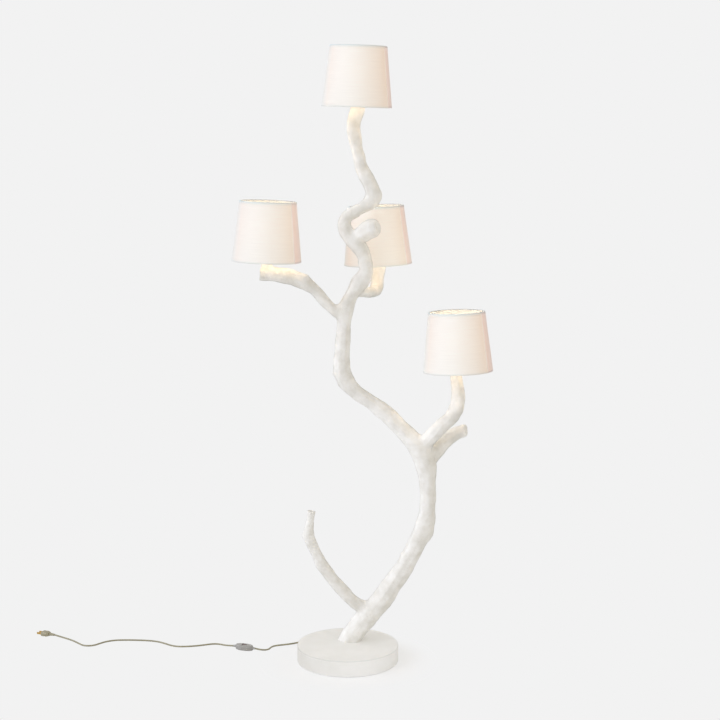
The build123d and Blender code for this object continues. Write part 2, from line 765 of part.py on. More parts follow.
def switch_shell(outward_step):
    # one half of the oval case, hollow, with its half of both cord sleeves; +1 is the top half
    with BuildPart() as shell:
        with BuildSketch(switch_plane):
            Ellipse(switch_body, switch_width)
        extrude(amount=outward_step * half_height)
        fillet(shell.faces().sort_by(Axis.Z)[-1 if outward_step > 0 else 0].edges(), switch_edge)
        with BuildSketch(switch_plane):
            Ellipse(switch_body - switch_wall, switch_width - switch_wall)
        extrude(amount=outward_step * (half_height - switch_wall), mode=Mode.SUBTRACT)
        for end in (-1, 1):
            sleeve_start = switch_plane.from_local_coords((end * (switch_body - sleeve_root), 0))
            sleeve_plane = Plane(origin=sleeve_start, z_dir=switch_plane.x_dir * end)
            with BuildSketch(sleeve_plane):
                Circle(sleeve_radii[0])
            with BuildSketch(sleeve_plane.offset(switch_end - switch_body + sleeve_root)):
                Circle(sleeve_radii[1])
            loft()
        split(bisect_by=switch_plane, keep=Keep.TOP if outward_step > 0 else Keep.BOTTOM)
        with BuildSketch(switch_plane):
            with Locations(*screw_spots):
                Circle(screw_post_radius)
        extrude(amount=outward_step * (half_height - switch_wall / 2))
    return shell.part


with BuildPart() as switch_screws:
    with BuildSketch(switch_plane.offset(-half_height)):
        with Locations(*screw_spots):
            Circle(head_radius)
    extrude(amount=head_depth)
    with BuildSketch(switch_plane.offset(-half_height)):
        with Locations(*screw_spots):
            Circle(screw_radius)
    extrude(amount=half_height + rocker_lift)
save(switch_screws, "switch_screws")

with BuildPart() as switch_lower:
    add(switch_shell(-1))
    add(switch_screws.part, mode=Mode.SUBTRACT)
save(switch_lower, "switch_lower")

pivot_plane = switch_plane.offset(rocker_lift)
across_pivot = upright_plane(pivot_plane)
tilted_run = across_pivot.x_dir * cos(radians(rocker_tilt)) + across_pivot.y_dir * sin(radians(rocker_tilt))
tilted_pivot = Plane(origin=across_pivot.origin, x_dir=tilted_run, z_dir=across_pivot.z_dir)
with BuildPart() as switch_upper:
    add(switch_shell(1))
    with BuildSketch(pivot_plane.offset(-2 * bearing_bore)):
        with GridLocations(0, rocker_window[1] + bearing_size[1], 1, 2):
            Rectangle(*bearing_size)
    extrude(amount=half_height - rocker_lift + bearing_top)
    with BuildSketch(switch_plane):
        Rectangle(*rocker_window)
    extrude(amount=half_height, mode=Mode.SUBTRACT)
    with BuildSketch(across_pivot):
        Circle(bearing_bore)
    extrude(amount=rocker_window[1] / 2 + switch_wall, both=True, mode=Mode.SUBTRACT)
    add(switch_screws.part, mode=Mode.SUBTRACT)
save(switch_upper, "switch_upper")

with BuildPart() as switch_rocker:
    with BuildSketch(tilted_pivot) as rocker_side:
        with BuildLine():
            Polyline(*rocker_profile, close=True)
        make_face()
        fillet(rocker_side.vertices(), rocker_edge)
    extrude(amount=rocker_window[1] / 2 - rocker_play, both=True)
    with BuildSketch(across_pivot):
        Circle(rocker_pin_radius)
    extrude(amount=rocker_window[1] / 2 + rocker_pin_reach, both=True)
save(switch_rocker, "switch_rocker")

# ---------------------------------------------------------------- plug
plug_start = Vector(*plug_route[-1])
plug_run = Vector(cos(radians(plug_heading)), sin(radians(plug_heading)), 0)
plug_plane = Plane(origin=plug_start, x_dir=(-plug_run.Y, plug_run.X, 0), z_dir=plug_run)
with BuildPart() as plug_body_part:
    with BuildSketch(plug_plane):
        Circle(plug_sleeve_radii[0])
    with BuildSketch(plug_plane.offset(plug_sleeve)):
        Circle(plug_sleeve_radii[1])
    loft()
    with BuildSketch(plug_plane.offset(plug_sleeve)):
        RectangleRounded(*plug_back, plug_corners[0])
    with BuildSketch(plug_plane.offset(plug_sleeve + plug_shoulder)):
        RectangleRounded(plug_width, plug_height, plug_corners[1])
    loft()
    with BuildSketch(plug_plane.offset(plug_sleeve + plug_shoulder)):
        RectangleRounded(plug_width, plug_height, plug_corners[1])
    extrude(amount=plug_body - plug_shoulder)
    chamfer(plug_body_part.faces().sort_by(Axis(plug_start, plug_run))[-1].edges(), plug_edge)
blade_plane = plug_plane.offset(plug_sleeve + plug_body)
with BuildPart() as plug_blades:
    with BuildSketch(blade_plane.offset(-blade_root)):
        with GridLocations(blade_spacing, 0, 2, 1):
            Rectangle(*blade_section)
    extrude(amount=blade_length + blade_root)
    chamfer(plug_blades.faces().group_by(Axis(plug_start, plug_run))[-1].edges(), blade_point)
save(plug_blades, "plug_blades")
with BuildPart() as plug_cover:
    add(plug_body_part.part)
    add(plug_blades.part, mode=Mode.SUBTRACT)
save(plug_cover, "plug_body")
print("switch and plug built")

# ---------------------------------------------------------------- cord
routes = {"cord_lead": lead_route, "cord_to_switch": switch_route, "cord_to_plug": plug_route}
cords = {}
for name, route in routes.items():
    line = bent_line(route)
    with BuildPart() as cord:
        add(rod(line, cord_radius))
    save(cord, name)
    cords[name] = cord.part
    wanted = pi * cord_radius**2 * line.length
    print(name, "length", round(line.length), "volume", round(cord.part.volume), "of", round(wanted))
    print("  bend radii", [round(radius) for radius in bend_radii(route)])

with BuildPart() as cord_coil:
    with BuildSketch():
        with Locations(coil_spot):
            Circle(coil_outer)
            Circle(coil_inner, mode=Mode.SUBTRACT)
    extrude(amount=coil_height)
    fillet(cord_coil.edges().filter_by(GeomType.CIRCLE), coil_edge)
    add(cords["cord_lead"], mode=Mode.SUBTRACT)
    add(cords["cord_to_switch"], mode=Mode.SUBTRACT)
save(cord_coil, "cord_coil")
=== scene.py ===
import json
from math import atan2, cos, pi, radians, sin

import bmesh
import bpy
from mathutils import Matrix, Vector, noise
from mathutils.kdtree import KDTree


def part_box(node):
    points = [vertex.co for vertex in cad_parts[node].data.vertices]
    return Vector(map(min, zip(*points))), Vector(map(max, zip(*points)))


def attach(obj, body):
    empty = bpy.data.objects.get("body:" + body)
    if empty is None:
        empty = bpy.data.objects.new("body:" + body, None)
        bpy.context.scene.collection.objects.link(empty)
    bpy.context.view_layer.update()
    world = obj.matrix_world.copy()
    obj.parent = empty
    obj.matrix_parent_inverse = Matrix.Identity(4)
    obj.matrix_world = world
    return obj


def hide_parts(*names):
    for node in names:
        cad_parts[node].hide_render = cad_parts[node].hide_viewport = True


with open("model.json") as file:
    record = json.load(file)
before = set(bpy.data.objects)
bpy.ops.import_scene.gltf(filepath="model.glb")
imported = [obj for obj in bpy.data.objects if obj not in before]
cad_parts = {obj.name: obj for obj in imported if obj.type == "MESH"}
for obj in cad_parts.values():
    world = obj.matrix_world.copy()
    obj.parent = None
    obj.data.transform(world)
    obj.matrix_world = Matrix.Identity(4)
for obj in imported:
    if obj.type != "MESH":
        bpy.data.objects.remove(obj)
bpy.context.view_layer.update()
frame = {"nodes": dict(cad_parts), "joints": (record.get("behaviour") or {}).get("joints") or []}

scene = bpy.context.scene
scene.view_settings.view_transform = "Standard"
print("frame loaded:", len(frame["nodes"]), "nodes")


def linear(hexText):  # an sRGB hex colour as linear RGBA
    shares = [int(hexText[start:start + 2], 16) / 255 for start in (1, 3, 5)]
    return [share / 12.92 if share <= 0.04045 else ((share + 0.055) / 1.055) ** 2.4 for share in shares] + [1]


def addNode(material, kind, settings, inputs, stops=()):
    # settings are the node's own, inputs hold numbers, colours or other nodes' outputs, stops are a ramp's
    node = material.node_tree.nodes.new("ShaderNode" + kind)
    for name, value in settings.items():
        setattr(node, name, value)
    for key, value in inputs.items():
        if isinstance(value, bpy.types.NodeSocket):
            material.node_tree.links.new(value, node.inputs[key])
        else:
            node.inputs[key].default_value = value
    for index, (place, colour) in enumerate(stops):
        stop = node.color_ramp.elements[index] if index < 2 else node.color_ramp.elements.new(place)
        stop.position = place
        stop.color = colour
    return node


def newMaterial(name):
    material = bpy.data.materials.new(name)
    material.use_nodes = True
    material.node_tree.nodes.clear()
    return material


def finishMaterial(material, shader):
    addNode(material, "OutputMaterial", {}, {"Surface": shader.outputs[0]})
    return material


def newPiece(name, bm, materials, body):
    mesh = bpy.data.meshes.new(name)
    bm.to_mesh(mesh)
    bm.free()
    for material in materials:
        mesh.materials.append(material)
    for polygon in mesh.polygons:
        polygon.use_smooth = True
    piece = bpy.data.objects.new(name, mesh)
    scene.collection.objects.link(piece)
    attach(piece, body)
    return piece


def paintNodes(material, *names):
    for name in names:
        for holder in frame["nodes"][name].material_slots:
            holder.material = material


# camera, as the photograph was taken: one lens, looking a little down
camera = {"place": (0.037, -4.6, 1.669), "pitch": 9.24, "lens": 79.3, "sensor": 36}
view = bpy.data.cameras.new("camera")
view.lens = camera["lens"]
view.sensor_width = camera["sensor"]
viewer = bpy.data.objects.new("camera", view)
viewer.location = camera["place"]
viewer.rotation_euler = (radians(90 - camera["pitch"]), 0, 0)
scene.collection.objects.link(viewer)
scene.camera = viewer

# studio
studio = {
    "backdrop": "#F2F2F2",
    "skyColour": "#FFFAF0",
    "skyLevel": 0.61,
    "sunSpread": 60,
    "keyColour": "#E9EFFF",
    "keyLevel": 1.62,
    "keyFrom": (-1.0, -0.4, 0.6),
    "sideColour": "#FFF4E2",
    "sideLevel": 0.32,
    "sideFrom": (1.0, 0.1, 0.35),
    "baseColour": "#E9F0FF",
    "baseLevel": 1.25,      # the base is lit from the front alone, without the key light
    "baseFrom": (0.0, -1.0, 1.1),
    "floorSize": 60,
    "floorLift": 0.15,      # brings the floor's own shade up to the backdrop's
    "floorShadow": 0.40,    # how much of the floor's own light and shade shows close to the lamp
    "shadowReach": (0.165, 0.27),
}


def addSun(name, spread, linkState):
    lamp = bpy.data.lights.new(name + "Light", "SUN")
    lamp.energy = studio[name + "Level"]
    lamp.color = linear(studio[name + "Colour"])[:3]
    lamp.angle = radians(spread)
    holder = bpy.data.objects.new(name + "Light", lamp)
    holder.rotation_euler = Vector(studio[name + "From"]).to_track_quat("Z", "Y").to_euler()
    scene.collection.objects.link(holder)
    lit = bpy.data.collections.new(name + "Lit")
    lit.objects.link(frame["nodes"]["base_disc"])
    lit.collection_objects[0].light_linking.link_state = linkState
    holder.light_linking.receiver_collection = lit


def addStudio():
    addSun("key", studio["sunSpread"], "EXCLUDE")
    addSun("side", studio["sunSpread"], "EXCLUDE")
    addSun("base", 2 * studio["sunSpread"], "INCLUDE")
    world = bpy.data.worlds.new("studio")
    scene.world = world
    world.use_nodes = True
    world.node_tree.nodes.clear()
    path = addNode(world, "LightPath", {}, {})
    seen = addNode(world, "Math", {"operation": "MAXIMUM"},
                   {0: path.outputs["Is Camera Ray"], 1: path.outputs["Is Glossy Ray"]})
    through = addNode(world, "Math", {"operation": "MAXIMUM"},
                      {0: seen.outputs[0], 1: path.outputs["Is Transmission Ray"]})
    sky = addNode(world, "Background", {},
                  {"Color": linear(studio["skyColour"]), "Strength": studio["skyLevel"]})
    backdrop = addNode(world, "Background", {}, {"Color": linear(studio["backdrop"]), "Strength": 1})
    mixed = addNode(world, "MixShader", {},
                    {0: through.outputs[0], 1: sky.outputs[0], 2: backdrop.outputs[0]})
    addNode(world, "OutputWorld", {}, {"Surface": mixed.outputs[0]})

    # the floor is the backdrop's own colour, and near the lamp it takes the lamp's shadow
    material = newMaterial("studioFloor")
    path = addNode(material, "LightPath", {}, {})
    seen = addNode(material, "Math", {"operation": "MAXIMUM"},
                   {0: path.outputs["Is Camera Ray"], 1: path.outputs["Is Glossy Ray"]})
    place = addNode(material, "TexCoord", {}, {})
    away = addNode(material, "VectorMath", {"operation": "LENGTH"}, {0: place.outputs["Object"]})
    near, far = studio["shadowReach"]
    fading = addNode(material, "MapRange", {"interpolation_type": "SMOOTHSTEP"},
                     {0: away.outputs["Value"], 1: near, 2: far, 3: 1 - studio["floorShadow"], 4: 1})
    plain = addNode(material, "Math", {"operation": "MULTIPLY"}, {0: seen.outputs[0], 1: fading.outputs[0]})
    paint = addNode(material, "BsdfDiffuse", {}, {"Color": linear(studio["backdrop"])})
    rise = addNode(material, "Math", {"operation": "MULTIPLY"}, {0: seen.outputs[0], 1: studio["floorLift"]})
    lift = addNode(material, "Emission", {},
                   {"Color": linear(studio["backdrop"]), "Strength": rise.outputs[0]})
    lifted = addNode(material, "AddShader", {}, {0: paint.outputs[0], 1: lift.outputs[0]})
    glow = addNode(material, "Emission", {}, {"Color": linear(studio["backdrop"]), "Strength": 1})
    finishMaterial(material, addNode(material, "MixShader", {},
                                     {0: plain.outputs[0], 1: lifted.outputs[0], 2: glow.outputs[0]}))
    bm = bmesh.new()
    bmesh.ops.create_grid(bm, x_segments=1, y_segments=1, size=studio["floorSize"] / 2)
    mesh = bpy.data.meshes.new("floor")
    bm.to_mesh(mesh)
    bm.free()
    mesh.materials.append(material)
    floor = bpy.data.objects.new("floor", mesh)
    scene.collection.objects.link(floor)


addStudio()
print("studio ready")

# the cord: where it lies on the floor, in metres, from the strain relief to the plug
cord = {
    "radius": 0.0025,
    "lead": [
        (0.0943, 0.151, 0.012), (0.1017, 0.163, 0.0104), (0.105, 0.1785, 0.0074), (0.102, 0.195, 0.0044),
        (0.092, 0.209, 0.0028), (0.075, 0.220, 0.0026), (0.051, 0.2275, 0.0026), (0.021, 0.231, 0.0026),
    ],
    "coilMiddle": (-0.008, 0.196),
    "coilOuter": 0.0355,    # middle of its outermost turn
    "coilPitch": 0.005,
    "coilTurns": 3,         # in each of its two layers
    "coilLow": 0.0026,
    "coilHigh": 0.0076,
    "coilTuck": 0.003,      # the rising turn draws in this far
    "pointsPerTurn": 16,
    "toSwitch": [
        (-0.038, 0.2305, 0.0064), (-0.066, 0.223, 0.004), (-0.092, 0.208, 0.0028), (-0.115, 0.187, 0.0026),
        (-0.136, 0.1645, 0.0026), (-0.156, 0.1475, 0.0026), (-0.180, 0.1345, 0.0026),
        (-0.206, 0.1255, 0.0026), (-0.222, 0.1205, 0.0026), (-0.2331, 0.113, 0.0026),
        (-0.2396, 0.1017, 0.0026), (-0.243, 0.0891, 0.0026), (-0.2507, 0.0789, 0.0033),
        (-0.2624, 0.0732, 0.005), (-0.2754, 0.0727, 0.0072), (-0.2857, 0.0765, 0.0086),
    ],
    "throughSwitch": [(-0.302, 0.0824, 0.0056), (-0.338, 0.0956, 0.0056)],  # under the rocker
    "toPlug": [
        (-0.3543, 0.1015, 0.0086), (-0.366, 0.1065, 0.0072), (-0.380, 0.1165, 0.0046),
        (-0.394, 0.1285, 0.0029), (-0.411, 0.1365, 0.0026), (-0.432, 0.132, 0.0026), (-0.460, 0.120, 0.0026),
        (-0.492, 0.112, 0.0026), (-0.523, 0.1095, 0.0026), (-0.547, 0.1175, 0.0026), (-0.570, 0.138, 0.0026),
        (-0.594, 0.156, 0.0026), (-0.625, 0.166, 0.0026), (-0.662, 0.170, 0.0026), (-0.700, 0.1715, 0.0026),
        (-0.733, 0.169, 0.0026), (-0.757, 0.157, 0.0026), (-0.773, 0.1405, 0.0026), (-0.786, 0.1245, 0.0026),
        (-0.7988, 0.118, 0.0026), (-0.813, 0.1175, 0.0026), (-0.826, 0.123, 0.0026), (-0.843, 0.143, 0.0026),
        (-0.862, 0.165, 0.0026), (-0.885, 0.184, 0.0028), (-0.907, 0.1965, 0.0046), (-0.928, 0.206, 0.0075),
    ],
}


def coilPoints():
    # three turns inwards on the floor, one turn up, three turns outwards on top of them
    middleX, middleY = cord["coilMiddle"]
    turns, perTurn = cord["coilTurns"], cord["pointsPerTurn"]
    inner = cord["coilOuter"] - cord["coilPitch"] * turns
    points = []
    total = (2 * turns + 1) * perTurn
    for step in range(total + 1):
        turn = step / perTurn
        rise = min(max(turn - turns, 0), 1)
        if turn <= turns:
            radius = cord["coilOuter"] - cord["coilPitch"] * turn
        elif turn <= turns + 1:
            radius = inner - cord["coilTuck"] * sin(pi * rise)
        else:
            radius = inner + cord["coilPitch"] * (turn - turns - 1)
        angle = pi / 2 + 2 * pi * turn
        height = cord["coilLow"] + (cord["coilHigh"] - cord["coilLow"]) * rise
        points.append((middleX + radius * cos(angle), middleY + radius * sin(angle), height))
    return points


def flexCover():
    # extruded PVC flex: smooth, softly shiny, a yellowish olive beige
    material = newMaterial("extrudedPvcFlex")
    place = addNode(material, "TexCoord", {}, {})
    mottle = addNode(material, "TexNoise", {}, {"Vector": place.outputs["Object"], "Scale": 60, "Detail": 2})
    tint = addNode(material, "ValToRGB", {}, {0: mottle.outputs[0]},
                   [(0.3, linear("#8F8A70")), (0.7, linear("#A19B82"))])
    grain = addNode(material, "TexNoise", {}, {"Vector": place.outputs["Object"], "Scale": 700, "Detail": 1})
    bump = addNode(material, "Bump", {}, {"Height": grain.outputs[0], "Strength": 0.2, "Distance": 0.0002})
    return finishMaterial(material, addNode(material, "BsdfPrincipled", {}, {
        "Base Color": tint.outputs[0], "Roughness": 0.42, "IOR": 1.53, "Normal": bump.outputs[0]}))


def laidCord():
    route = cord["lead"] + coilPoints() + cord["toSwitch"] + cord["throughSwitch"] + cord["toPlug"]
    curve = bpy.data.curves.new("cord", "CURVE")
    curve.dimensions = "3D"
    curve.bevel_depth = cord["radius"]
    curve.bevel_resolution = 3
    curve.use_fill_caps = True
    spline = curve.splines.new("NURBS")
    spline.points.add(len(route) - 1)
    for point, spot in zip(spline.points, route):
        point.co = (*spot, 1)
    spline.order_u = 3
    spline.use_endpoint_u = True
    spline.resolution_u = 5
    curve.materials.append(flexCover())
    piece = bpy.data.objects.new("cord", curve)
    scene.collection.objects.link(piece)
    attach(piece, "stand")
    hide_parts("cord_lead", "cord_coil", "cord_to_switch", "cord_to_plug")
    return piece


cordPiece = laidCord()
print("cord laid")

# the tree: a resin casting under a hand-laid plaster coat
tree = {
    "nodes": ["trunk_lower", "trunk_middle", "stem_upper", "twig", "right_arm", "right_stub", "left_arm",
              "rear_arm", "knob"],
    "voxel": 0.003,
    "mergeWithin": 0.00001,
    "footBand": 0.0002,     # what lies within this of the base's top counts as the foot's underside
    "footDip": 0.007,       # the trunk's foot runs this far down into the base, so that its edge is crisp
    "plugRadius": 0.012,    # closes the tube's mouth under each lampholder and in the foot
    "plugDepth": 0.018,
    "footPlugAbove": 0.0005,  # the foot's own plug covers the steel plate by this much on top
    "footPlugAround": 0.0004,
    "ridge": 0.0021,        # long flutes that run with each limb
    "ridgesRound": 2.1,
    "ridgesAlong": 7,
    "lump": 0.0022,
    "lumpScale": 26,
    "trowel": 0.0008,
    "trowelScale": 95,
    "smoothing": 0.4,
    "spineStep": 0.006,
    # along the middle of each limb, for the direction that its flutes run in
    "spines": [
        [(-0.014, 0.046, 0.010), (0.012, 0.042, 0.060), (0.032, 0.038, 0.092), (0.058, 0.033, 0.126),
         (0.120, 0.023, 0.206), (0.196, 0.005, 0.343),
         (0.236, -0.006, 0.454), (0.237, -0.012, 0.576), (0.210, -0.010, 0.661), (0.120, 0.004, 0.754),
         (0.022, 0.010, 0.826), (-0.016, 0.008, 0.893), (-0.011, 0.002, 1.006), (0.004, 0.004, 1.096),
         (0.055, 0.002, 1.194), (0.018, -0.008, 1.271), (-0.008, -0.004, 1.325), (0.028, 0.008, 1.357),
         (0.071, 0.014, 1.397), (0.047, 0.018, 1.470), (0.023, 0.024, 1.561), (0.0275, 0.030, 1.666)],
        [(0.060, 0.030, 0.150), (0.000, 0.025, 0.195), (-0.064, 0.012, 0.276), (-0.105, 0.005, 0.355),
         (-0.116, 0.003, 0.390), (-0.108, 0.000, 0.464)],
        [(0.228, -0.010, 0.660), (0.306, -0.040, 0.759), (0.323, -0.046, 0.816), (0.317, -0.045, 0.884),
         (0.320, -0.044, 0.906)],
        [(0.228, -0.009, 0.602), (0.266, 0.012, 0.646), (0.294, 0.028, 0.672), (0.352, 0.036, 0.702)],
        [(-0.006, 0.003, 1.044), (-0.053, 0.001, 1.081), (-0.097, -0.001, 1.130), (-0.153, -0.003, 1.162),
         (-0.253, -0.005, 1.179)],
        [(0.020, 0.002, 1.122), (0.061, 0.060, 1.113), (0.085, 0.116, 1.118), (0.092, 0.135, 1.160),
         (0.092, 0.135, 1.201)],
        [(0.016, -0.006, 1.273), (0.037, -0.015, 1.287), (0.069, -0.035, 1.310), (0.089, -0.046, 1.316)],
    ],
    # where limbs meet, the plaster fills the corner: place, reach and how often it is smoothed
    "webs": [
        ((0.030, 0.030, 0.166), 0.042, 26), ((-0.005, 0.030, 0.150), 0.034, 12),
        ((0.236, -0.008, 0.668), 0.058, 26), ((0.262, 0.006, 0.650), 0.042, 20),
        ((0.285, -0.010, 0.690), 0.036, 14), ((-0.022, 0.004, 1.066), 0.046, 22),
        ((0.030, 0.010, 1.124), 0.042, 20), ((0.020, -0.010, 1.285), 0.036, 16),
        ((-0.232, -0.005, 1.192), 0.034, 16), ((0.010, 0.000, 1.340), 0.030, 8),
    ],
    # knots, burrs and hollows: place, reach and height
    "knots": [
        ((-0.145, -0.006, 1.182), 0.018, -0.005), ((-0.119, -0.014, 1.166), 0.020, 0.005),
        ((-0.132, -0.004, 0.388), 0.020, 0.004), ((-0.116, -0.016, 0.400), 0.016, 0.004),
        ((0.246, -0.010, 0.392), 0.032, 0.004), ((0.215, -0.026, 0.410), 0.024, 0.004),
        ((0.350, 0.036, 0.703), 0.024, 0.002), ((0.356, 0.036, 0.704), 0.014, -0.006),
        ((0.091, -0.047, 1.317), 0.015, -0.004),
        ((0.228, -0.036, 0.612), 0.030, 0.004), ((0.322, -0.060, 0.782), 0.026, 0.004),
        ((-0.041, 0.004, 0.880), 0.016, 0.004), ((-0.012, -0.018, 0.872), 0.026, 0.003),
        ((0.096, 0.012, 1.402), 0.022, 0.003), ((0.036, 0.008, 1.451), 0.015, 0.003),
        ((0.010, -0.016, 1.600), 0.022, 0.003), ((-0.108, -0.001, 0.466), 0.011, -0.003),
    ],
}


def lightPlace(light):
    # a light's own place: its origin on the branch tip and its Z up its axis
    joint = [one for one in frame["joints"] if one["name"] == light + "_shade_swivel"][0]
    up = Vector(joint["axis"]).normalized()
    across = (Vector((1, 0, 0)) - up * up.x).normalized()
    turned = Matrix((across, up.cross(across), up)).transposed().to_4x4()
    return Matrix.Translation(joint["pos_m"]) @ turned


lightNames = ("top", "left", "rear", "right")


def plasterCoat():
    # gypsum plaster brushed over a resin casting: dead matt, chalky, warm white mottled with greyer patches.
    # Painted
    # shade: it is made darker where the eye meets it at a slant, so that the limbs' outlines look shaded
    material = newMaterial("brushedPlasterCoat")
    place = addNode(material, "TexCoord", {}, {})
    cloud = addNode(material, "TexNoise", {},
                    {"Vector": place.outputs["Object"], "Scale": 28, "Detail": 4, "Roughness": 0.55})
    tint = addNode(material, "ValToRGB", {}, {0: cloud.outputs[0]},
                   [(0.32, linear("#E8E6E0")), (0.62, linear("#FAF9F6"))])
    # painted shade: the colour darkens towards the outlines, where the surface turns away from the eye
    facing = addNode(material, "LayerWeight", {}, {"Blend": 0.5})
    edge = addNode(material, "MapRange", {}, {0: facing.outputs["Facing"], 1: 0.5, 2: 1, 3: 1, 4: 0.68})
    chalk = addNode(material, "VectorMath", {"operation": "SCALE"}, {0: tint.outputs[0], 3: edge.outputs[0]})
    strokes = addNode(material, "TexNoise", {},
                      {"Vector": place.outputs["Object"], "Scale": 120, "Detail": 3, "Roughness": 0.6})
    grit = addNode(material, "TexNoise", {},
                   {"Vector": place.outputs["Object"], "Scale": 420, "Detail": 2, "Roughness": 0.5})
    low = addNode(material, "Bump", {}, {"Height": strokes.outputs[0], "Strength": 0.8, "Distance": 0.0026})
    fine = addNode(material, "Bump", {}, {"Height": grit.outputs[0], "Strength": 0.35, "Distance": 0.0005,
                                          "Normal": low.outputs[0]})
    return finishMaterial(material, addNode(material, "BsdfPrincipled", {}, {
        "Base Color": chalk.outputs[0], "Roughness": 0.86, "IOR": 1.45, "Normal": fine.outputs[0]}))


def castBlank():
    # the casting's limbs as one closed skin
    bm = bmesh.new()
    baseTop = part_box("base_disc")[1].z
    for node in tree["nodes"]:
        limb = bmesh.new()
        limb.from_mesh(frame["nodes"][node].data)
        bmesh.ops.remove_doubles(limb, verts=limb.verts, dist=tree["mergeWithin"])
        for vert in limb.verts:
            if vert.co.z < baseTop + tree["footBand"]:
                vert.co.z -= tree["footDip"]
        joined = bpy.data.meshes.new("limb")
        limb.to_mesh(joined)
        limb.free()
        bm.from_mesh(joined)
    plugs = [lightPlace(light) @ Matrix.Translation((0, 0, -tree["plugDepth"] / 2)) for light in lightNames]
    for place in plugs:
        bmesh.ops.create_cone(bm, cap_ends=True, segments=24, radius1=tree["plugRadius"],
                              radius2=tree["plugRadius"], depth=tree["plugDepth"], matrix=place)
    low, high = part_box("foot_plate")
    bottom, top = baseTop - tree["footDip"], high.z + tree["footPlugAbove"]
    radius = (high.x - low.x) / 2 + tree["footPlugAround"]
    bmesh.ops.create_cone(bm, cap_ends=True, segments=48, radius1=radius, radius2=radius, depth=top - bottom,
                          matrix=Matrix.Translation((*((low + high) / 2).xy, (bottom + top) / 2)))
    return bm


def remeshed(bm, voxel):
    rough = bpy.data.meshes.new("rough")
    bm.to_mesh(rough)
    bm.free()
    holder = bpy.data.objects.new("rough", rough)
    scene.collection.objects.link(holder)
    skin = holder.modifiers.new("skin", "REMESH")
    skin.mode = "VOXEL"
    skin.voxel_size = voxel
    made = bpy.data.meshes.new_from_object(holder.evaluated_get(bpy.context.evaluated_depsgraph_get()))
    bpy.data.objects.remove(holder)
    result = bmesh.new()
    result.from_mesh(made)
    return result


def keepOuterSkin(bm):
    # the largest connected skin stays, and the walls of shut-in hollows go
    unseen, largest = set(bm.verts), []
    while unseen:
        shell, edge = [], [unseen.pop()]
        while edge:
            vert = edge.pop()
            shell.append(vert)
            for link in vert.link_edges:
                other = link.other_vert(vert)
                if other in unseen:
                    unseen.remove(other)
                    edge.append(other)
        if len(shell) > len(largest):
            largest = shell
    kept = set(largest)
    bmesh.ops.delete(bm, geom=[vert for vert in bm.verts if vert not in kept], context="VERTS")


def spineTree():
    # points every few millimetres along the limbs, each with its limb's direction
    spots = []
    for spine in tree["spines"]:
        for start, end in zip(spine, spine[1:]):
            start, end = Vector(start), Vector(end)
            steps = max(int((end - start).length / tree["spineStep"]), 1)
            spots += [(start.lerp(end, step / steps), (end - start).normalized()) for step in range(steps)]
    finder = KDTree(len(spots))
    for index, (spot, direction) in enumerate(spots):
        finder.insert(spot, index)
    finder.balance()
    return finder, spots


def vertTree(bm):
    finder = KDTree(len(bm.verts))
    for vert in bm.verts:
        finder.insert(vert.co, vert.index)
    finder.balance()
    bm.verts.ensure_lookup_table()
    return finder


def fillWeb(bm, near, reach, repeats):
    # the hollows between limbs fill up towards their neighbours, and nothing sinks
    for repeat in range(repeats):
        for spot, index, away in near:
            vert = bm.verts[index]
            around = [edge.other_vert(vert).co for edge in vert.link_edges]
            move = sum(around, Vector()) / len(around) - vert.co
            if move.dot(vert.normal) > 0:
                vert.co += move * (1 - (away / reach) ** 2)


def castTree():
    bm = remeshed(castBlank(), tree["voxel"])
    keepOuterSkin(bm)
    bm.verts.index_update()
    finder = vertTree(bm)
    for place, reach, repeats in tree["webs"]:
        fillWeb(bm, finder.find_range(place, reach), reach, repeats)
    bm.normal_update()
    finder = vertTree(bm)
    for place, reach, height in tree["knots"]:
        place = Vector(place)
        for spot, index, away in finder.find_range(place, reach):
            vert = bm.verts[index]
            vert.co += vert.normal * height * (1 - (away / reach) ** 2) ** 2
    bm.normal_update()
    spineFinder, spots = spineTree()
    for vert in bm.verts:
        spot, index, away = spineFinder.find(vert.co)
        direction = spots[index][1]
        out = vert.co - spot
        out = (out - direction * out.dot(direction)).normalized()
        flute = noise.noise(out * tree["ridgesRound"] + spot * tree["ridgesAlong"])
        lump = noise.noise(vert.co * tree["lumpScale"])
        trowel = noise.noise(vert.co * tree["trowelScale"])
        vert.co += vert.normal * (flute * tree["ridge"] + lump * tree["lump"] + trowel * tree["trowel"])
    bmesh.ops.smooth_vert(bm, verts=bm.verts, factor=tree["smoothing"],
                          use_axis_x=True, use_axis_y=True, use_axis_z=True)
    print("tree skin:", len(bm.faces), "faces")
    piece = newPiece("cast_tree", bm, [plasterCoat()], "stand")
    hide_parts(*tree["nodes"])


castTree()
print("tree made")

